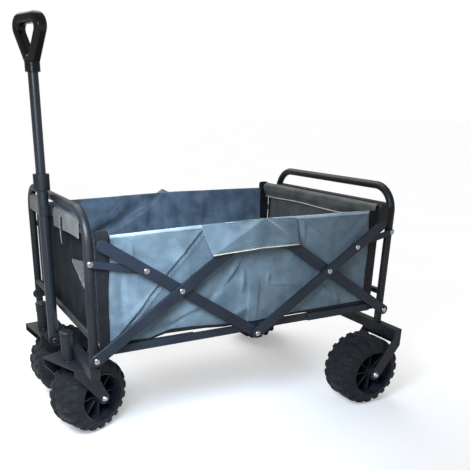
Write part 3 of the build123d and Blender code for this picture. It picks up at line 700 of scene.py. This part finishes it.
for side, word in SIDES:
    skirt = cloth(
        f"pivot_skirt_{word}", skirt_place(side), 96, 40, 1.0 * MM, [OXFORD], [COATED_BACK],
        flip=side > 0,
    )
    place = skirt_place(side)
    outwards = Vector((0, side, 0.15))
    edge = [place(s, 0.02) + Vector((0, side * 0.2 * MM, 0)) for s in np.linspace(0.005, 0.995, 60)]
    hem = tube(f"skirt_piping_{word}", edge, 1.3 * MM, PIPING)
    rows = [[place(s, t) for s in np.linspace(0.02, 0.98, 50)] for t in (0.1, 0.15)]
    rows += [[place(s, t) for t in np.linspace(0.05, 0.85, 24)] for s in (0.02, 0.98)]
    thread = stitches(f"skirt_stitching_{word}", rows, outwards, THREAD)
    for made in (skirt, hem, thread):
        fold_with_sides(made)
    if side > 0:
        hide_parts("top_pivot_flaps")


# ---------------------------------------------------------------- basket floor

floor_low, floor_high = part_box("basket_floor")
FLOOR_FOLDS = (-188, 0, 176)  # pressed across the cloth, mm from the middle


def floor_place(s, t):
    """Place on the floor's upper face, which turns up to the side seams at both edges."""
    x = between(s, floor_low.x, floor_high.x)
    reach = between(t, -1, 1)
    y = reach * (PANEL_FACE - 2.6 * MM)
    x_mm, y_mm = (x - MIDDLE) / MM, y / MM
    edge = ease((abs(y_mm) - 222) / 20)
    seam = SEAM_LINE(x_mm) + 1.0
    sag = 0.8 * sin(x_mm / 47) * sin(y_mm / 53) + 0.5 * sin(x_mm / 19 + y_mm / 27)
    for fold in FLOOR_FOLDS:
        sag += 2.2 * exp(-(((x_mm - fold) / 6) ** 2))
    # The seam along the middle
    sag += 1.2 * exp(-((y_mm / 7) ** 2))
    return Vector((x, y, MM * between(edge, 264.8 + sag, seam)))


floor_cloth = cloth("floor_cloth", floor_place, 130, 90, 1.4 * MM, [FLOOR_CLOTH], [END_BACK])
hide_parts("basket_floor")
proud = UPWARDS * 0.2 * MM
rows = [
    [floor_place(s, t) + proud for t in np.linspace(0.06, 0.94, 90)]
    for s in (0.235, 0.265, 0.5, 0.53, 0.745, 0.775)
]
rows += [[floor_place(s, t) + proud for s in np.linspace(0.01, 0.99, 120)] for t in (0.06, 0.94)]
floor_thread = stitches("floor_stitching", rows, UPWARDS, THREAD)
for made in (floor_cloth, floor_thread):
    fold_with_sides(made)


# ---------------------------------------------------------------- basket ends


def end_relief(y, z, seed):
    """How far an end cloth billows, in mm."""
    stand = 0.9 * sin(y / 41 + z / 57 + seed) + 0.7 * sin(y / 23 - z / 71 + 2 * seed)
    stand += 0.9 * sin(y / 17 + seed) * ease((500 - z) / 200)
    return stand


def end_place(name, way, seed):
    """Place on the outer face of the cloth that stands for an end panel."""
    low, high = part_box(name)
    top = high.z - 4 * MM
    face = (PANEL_FRONT if way < 0 else PANEL_REAR) + way * 1.7 * MM

    def place(s, t):
        y = between(s, low.y + 2.5 * MM, high.y - 2.5 * MM)
        z = between(t, low.z + 0.5 * MM, top)
        held = sin(pi * min(1, max(0, s))) ** 0.4 * ease(t * 6) * ease((1 - t) * 8)
        stand = MM * 0.9 * held * end_relief(y / MM, z / MM, seed)
        return Vector((face + way * max(stand, 0.0), y, z))

    return place


def in_end_binding(s, t):
    return s < 0.025 or s > 0.975 or t < 0.03


front_end = cloth(
    "front_end_cloth", end_place("front_end_panel", -1, 0.4), 121, 61, CLOTH_THICK,
    [FRONT_CLOTH, END_BINDING], [END_BACK, END_BINDING], in_end_binding, flip=True,
)
rear_end = cloth(
    "rear_end_cloth", end_place("rear_end_panel", 1, 1.7), 121, 61, CLOTH_THICK,
    [END_CLOTH, END_BINDING], [END_BACK, END_BINDING], in_end_binding,
)
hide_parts("front_end_panel")
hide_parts("rear_end_panel")

# The front cloth is turned over the rod between the posts, on both sides of the handle clip
rod_low, rod_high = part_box("front_panel_rod")
ROD_X, ROD_Z = (rod_low.x + rod_high.x) / 2, (rod_low.z + rod_high.z) / 2
ROLL_RADIUS = 8.2 * MM
clip_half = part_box("handle_clip")[1].y + 3 * MM


def front_roll_place(start, stop, seed):
    """Up the outside, over the rod and down the inside, from one y to the other."""
    outside_drop, inside_drop = 33 * MM, 26 * MM
    round_part = pi * ROLL_RADIUS
    total = outside_drop + round_part + inside_drop
    tucked_x = PANEL_FRONT - 2.4 * MM

    def place(s, t):
        y = between(s, start, stop)
        drop = outside_drop + 6 * MM * sin(y * 9 + seed)
        d = between(t, 0, total)
        ripple = MM * 0.8 * sin(y / MM / 19 + seed + 3 * t) * ease((outside_drop - d) / (10 * MM))
        if d < outside_drop:
            x = ROD_X - ROLL_RADIUS - max(-0.4 * MM, ripple)
            return Vector((x, y, ROD_Z - drop * (1 - d / outside_drop)))
        if d < outside_drop + round_part:
            turn = pi * (d - outside_drop) / round_part
            return Vector((ROD_X - ROLL_RADIUS * cos(turn), y, ROD_Z + ROLL_RADIUS * sin(turn)))
        down = (d - outside_drop - round_part) / inside_drop
        x = between(ease(down), ROD_X + ROLL_RADIUS, tucked_x)
        return Vector((x, y, ROD_Z - down * inside_drop))

    return place


ROLL_HALF = 217 * MM
for word, start, stop, seed in (
    ("left", -ROLL_HALF, -clip_half, 0.3),
    ("right", clip_half, ROLL_HALF, 2.1),
):
    place = front_roll_place(start, stop, seed)
    roll_cloth = cloth(f"front_roll_{word}", place, 70, 46, 1.0 * MM, [ROLL_CLOTH], [END_BACK])
    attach(roll_cloth, "front_frame")
    rows = [[place(s, t) for s in np.linspace(0.02, 0.98, 60)] for t in (0.05, 0.09)]
    thread = stitches(f"front_roll_stitching_{word}", rows, FORWARDS, THREAD)
    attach(thread, "front_frame")

# Webbing loop that ties the roll to the rod
strap_y = -93 * MM
strap_x = ROD_X - ROLL_RADIUS - 2.2 * MM
strap_low, strap_high = 452, 512
strap_path = [
    Vector((strap_x - 1.2 * MM * sin(pi * t), strap_y, between(t, strap_low, strap_high) * MM))
    for t in np.arange(24) / 23
]
strap = ribbon("front_webbing_strap", strap_path, FORWARDS, 14 * MM, 1.6 * MM, END_BINDING)

# Dark net let into the front cloth as a triangle
net_corners = [Vector((0, -82, 415)), Vector((0, -198, 432)), Vector((0, -185, 364))]
front_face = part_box("front_end_panel")[0].x


def net_place(s, t):
    """From the first corner of the net at s = 0 to its opposite edge at s = 1."""
    a, b, c = net_corners
    point = a.lerp(b.lerp(c, t), s)
    return Vector((front_face - 0.1 * MM, point.y * MM, point.z * MM))


net = cloth("front_net_window", net_place, 22, 14, 0.8 * MM, [END_BINDING], [END_BINDING], flip=True)
rows = [[net_place(s, t) for s in np.linspace(0.05, 1, 30)] for t in (0.0, 1.0)]
rows.append([net_place(1.0, t) for t in np.linspace(0, 1, 20)])
front_thread = stitches("front_end_stitching", rows, FORWARDS, ROLL_CLOTH)
for made in (front_end, strap, net, front_thread):
    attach(made, "front_frame")

# The rear cloth ends in a soft rolled hem between the corner bars
REAR_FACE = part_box("rear_end_panel")[0].x
REAR_ROLL_TOP = 511 * MM


def rear_roll_place(s, t):
    """Closed loop in section: down the inside, round the top and down the outside."""
    y = between(s, -245 * MM, 245 * MM)
    y_mm = y / MM
    puff = 9.5 + 1.2 * sin(y_mm / 33) + 0.8 * sin(y_mm / 14 + 1)
    low = 473 + 1.5 * sin(y_mm / 45)
    top = REAR_ROLL_TOP / MM - puff
    mid_section = REAR_FACE / MM - 7.0
    inside_run, round_run = top - low, pi * puff
    total = 2 * inside_run + round_run
    d = t * total
    wave = 1.0 * sin(y_mm / 21 + d / 13)
    if d < inside_run:
        flare = ease(d / inside_run * 1.4)
        x = mid_section - between(flare, 2.0, puff) - wave * flare
        return Vector((x * MM, y, (low + d) * MM))
    if d < inside_run + round_run:
        turn = pi * (d - inside_run) / round_run
        x = mid_section - puff * cos(turn) - wave * cos(turn) ** 2
        return Vector((x * MM, y, (top + puff * sin(turn)) * MM))
    down = d - inside_run - round_run
    flare = ease((1 - down / inside_run) * 1.4)
    return Vector(((mid_section + between(flare, 2.0, puff)) * MM, y, (top - down) * MM))


rear_roll = cloth("rear_roll", rear_roll_place, 130, 50, 1.0 * MM, [REAR_ROLL_CLOTH], [END_BACK])
PIPING_RADIUS = 1.5 * MM
piping_path = [
    rear_roll_place(s, 0.004) + FORWARDS * PIPING_RADIUS for s in np.linspace(0.004, 0.996, 90)
]
rear_piping = tube("rear_roll_piping", piping_path, PIPING_RADIUS, PIPING)
rows = [[rear_roll_place(s, t) for s in np.linspace(0.01, 0.99, 110)] for t in (0.06, 0.1)]
rear_thread = stitches("rear_roll_stitching", rows, FORWARDS, THREAD)
for made in (rear_end, rear_roll, rear_piping, rear_thread):
    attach(made, "rear_frame")


# ---------------------------------------------------------------- tyres

tyre_low, tyre_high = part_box("rear_wheel_left_tyre")
TYRE_RADIUS = tyre_high.z / 2
TYRE_HALF = (tyre_high.y - tyre_low.y) / 2
BEAD_RADIUS = 58 * MM
LUG_HEIGHT = 5.2 * MM
LUGS = 20  # shoulder blocks a side
STEPS_PER_LUG = 14
CARCASS = TYRE_RADIUS - LUG_HEIGHT
SHOULDER = 27 * MM
WALL_IN = 1.2 * MM  # side wall, in from the widest lugs
CROWN = 1.5 * MM
TURN_STEPS, FLAT_STEPS = 8, 14


def tyre_section():
    """Profile across the tyre: radius, offset and how much tread each point carries."""
    flat_half = TYRE_HALF - WALL_IN - SHOULDER
    flank = [
        (BEAD_RADIUS, -TYRE_HALF + 6 * MM, 0),
        (BEAD_RADIUS + 1.2 * MM, -TYRE_HALF + 2.2 * MM, 0),
        (BEAD_RADIUS + 3 * MM, -TYRE_HALF + WALL_IN, 0),
    ]
    for k in range(TURN_STEPS + 1):
        turn = pi / 2 * k / TURN_STEPS
        offset = -flat_half - SHOULDER * cos(turn)
        flank.append((CARCASS - SHOULDER + SHOULDER * sin(turn), offset, ease((k - 2) / 3)))
    crown = []
    for k in range(1, FLAT_STEPS):
        offset = between(k / FLAT_STEPS, -flat_half, flat_half)
        crown.append((CARCASS + CROWN * (1 - (offset / flat_half) ** 2), offset, 1))
    return flank + crown + [(r, -o, load) for r, o, load in flank[::-1]]


def lug_stand(turn, offset):
    """0 in a groove and 1 on a block: staggered shoulder blocks and a zigzag of middle bars."""
    share = abs(offset) / TYRE_HALF
    way = 1 if offset > 0 else -1
    pitch = 2 * pi / LUGS
    phase = (turn / pitch + (0.5 if way > 0 else 0) + 0.55 * share) % 1
    block = ease((0.30 - abs(phase - 0.5)) / 0.07) * ease((share - 0.34) / 0.07)
    middle_phase = (turn / pitch - 0.9 * offset / TYRE_HALF + 0.25) % 1
    bar = ease((0.27 - abs(middle_phase - 0.5)) / 0.07) * ease((0.30 - share) / 0.06)
    return max(block, bar)


def make_tyre_mesh():
    """The section swept round Y, with each point lifted along the section's normal by its lug."""
    section = tyre_section()
    around = LUGS * STEPS_PER_LUG
    vertices, faces = [], []
    for i in range(around):
        turn = 2 * pi * i / around
        for k, (r, offset, load) in enumerate(section):
            before, after = section[max(k - 1, 0)], section[min(k + 1, len(section) - 1)]
            dr, do = after[0] - before[0], after[1] - before[1]
            length = hypot(dr, do) or 1
            stand = LUG_HEIGHT * load * lug_stand(turn, offset)
            r_out, o_out = r + do / length * stand, offset - dr / length * stand
            r_out = min(r_out, TYRE_RADIUS)
            o_out = min(TYRE_HALF, max(-TYRE_HALF, o_out))
            vertices.append((r_out * cos(turn), o_out, r_out * sin(turn)))
    width = len(section)
    for i in range(around):
        j = (i + 1) % around
        for k in range(width):
            m = (k + 1) % width
            faces.append((i * width + k, j * width + k, j * width + m, i * width + m))
    mesh = bpy.data.meshes.new("treaded_tyre")
    mesh.from_pydata(vertices, [], faces)
    mesh.shade_smooth()
    mesh.materials.append(RUBBER)
    return mesh


tyre_mesh = make_tyre_mesh()
for joint in frame["joints"]:
    body = joint["child"]
    if not body.endswith(("wheel_left", "wheel_right")):
        continue
    low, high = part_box(f"{body}_tyre")
    axis = Vector(joint["axis"]).normalized()
    turned = atan2(-axis.x, axis.y)
    tyre = bpy.data.objects.new(f"{body}_treaded_tyre", tyre_mesh)
    bpy.context.scene.collection.objects.link(tyre)
    tyre.matrix_world = Matrix.Translation((low + high) / 2) @ Matrix.Rotation(turned, 4, "Z")
    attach(tyre, body)
    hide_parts(f"{body}_tyre")


# ---------------------------------------------------------------- studio


def lamp(name, kind, power, colour):
    """A light in the scene, still to be placed and turned."""
    data = bpy.data.lights.new(name, kind)
    data.energy, data.color = power, paint(colour)[:3]
    made = bpy.data.objects.new(name, data)
    bpy.context.scene.collection.objects.link(made)
    return made


# A cool softbox with a grid, near the front left corner, fades along the side
key_at, key_towards = Vector((-0.64, -0.68, 0.84)), Vector((-0.27, -0.24, 0.4))
key = lamp("key_softbox", "AREA", 5.4, "#d8e8fb")
key.data.shape, key.data.size, key.data.spread = "SQUARE", 0.42, radians(80)
key.location = key_at
key.rotation_euler = (key_towards - key_at).to_track_quat("-Z", "Y").to_euler()
key.visible_camera = False
# A wide soft light from over the far side sets the shadow under the cart and in front of it
overhead = lamp("overhead_glow", "SUN", 2.05, "#ffffff")
overhead.data.angle = radians(60)
overhead.rotation_euler = (radians(-38), radians(-10), 0)

# The white backdrop is seen bright, and lights the cart more softly
world = bpy.data.worlds.new("white_studio")
world.use_nodes = True
sky = world.node_tree.nodes
seen = add(sky, "LightPath").outputs["Is Camera Ray"]
strength = add(sky, "MapRange", [("Value", seen), ("To Min", 0.3), ("To Max", 1.0)])
world.node_tree.links.new(strength.outputs["Result"], sky["Background"].inputs["Strength"])
sky["Background"].inputs["Color"].default_value = (1, 1, 1, 1)
bpy.context.scene.world = world
bpy.context.scene.view_settings.view_transform = "Standard"

paper, paper_nodes, paper_shader = material(
    "white_paper_sweep", Roughness=0.85, Specular_IOR_Level=0.1, Emission_Color=(1, 1, 1, 1)
)
paper_place = add(paper_nodes, "TexCoord").outputs["Object"]
_, paper_colour = mottled(paper_nodes, paper_place, 0.6, "#e6e6e6", "#eaeaea")
# The paper glows a little to the camera alone, so that it runs out to white
seen = add(paper_nodes, "LightPath").outputs["Is Camera Ray"]
glow = add(paper_nodes, "MapRange", [("Value", seen), ("To Min", 0.0), ("To Max", 0.34)])
for socket, output in (("Base Color", paper_colour), ("Emission Strength", glow.outputs["Result"])):
    paper_nodes.id_data.links.new(output, paper_shader.inputs[socket])
PAPER_HALF = 30
corners = [(x * PAPER_HALF, y * PAPER_HALF, 0) for x, y in ((-1, -1), (1, -1), (1, 1), (-1, 1))]
studio_floor = piece("studio_floor", corners, [(0, 1, 2, 3)], [paper])
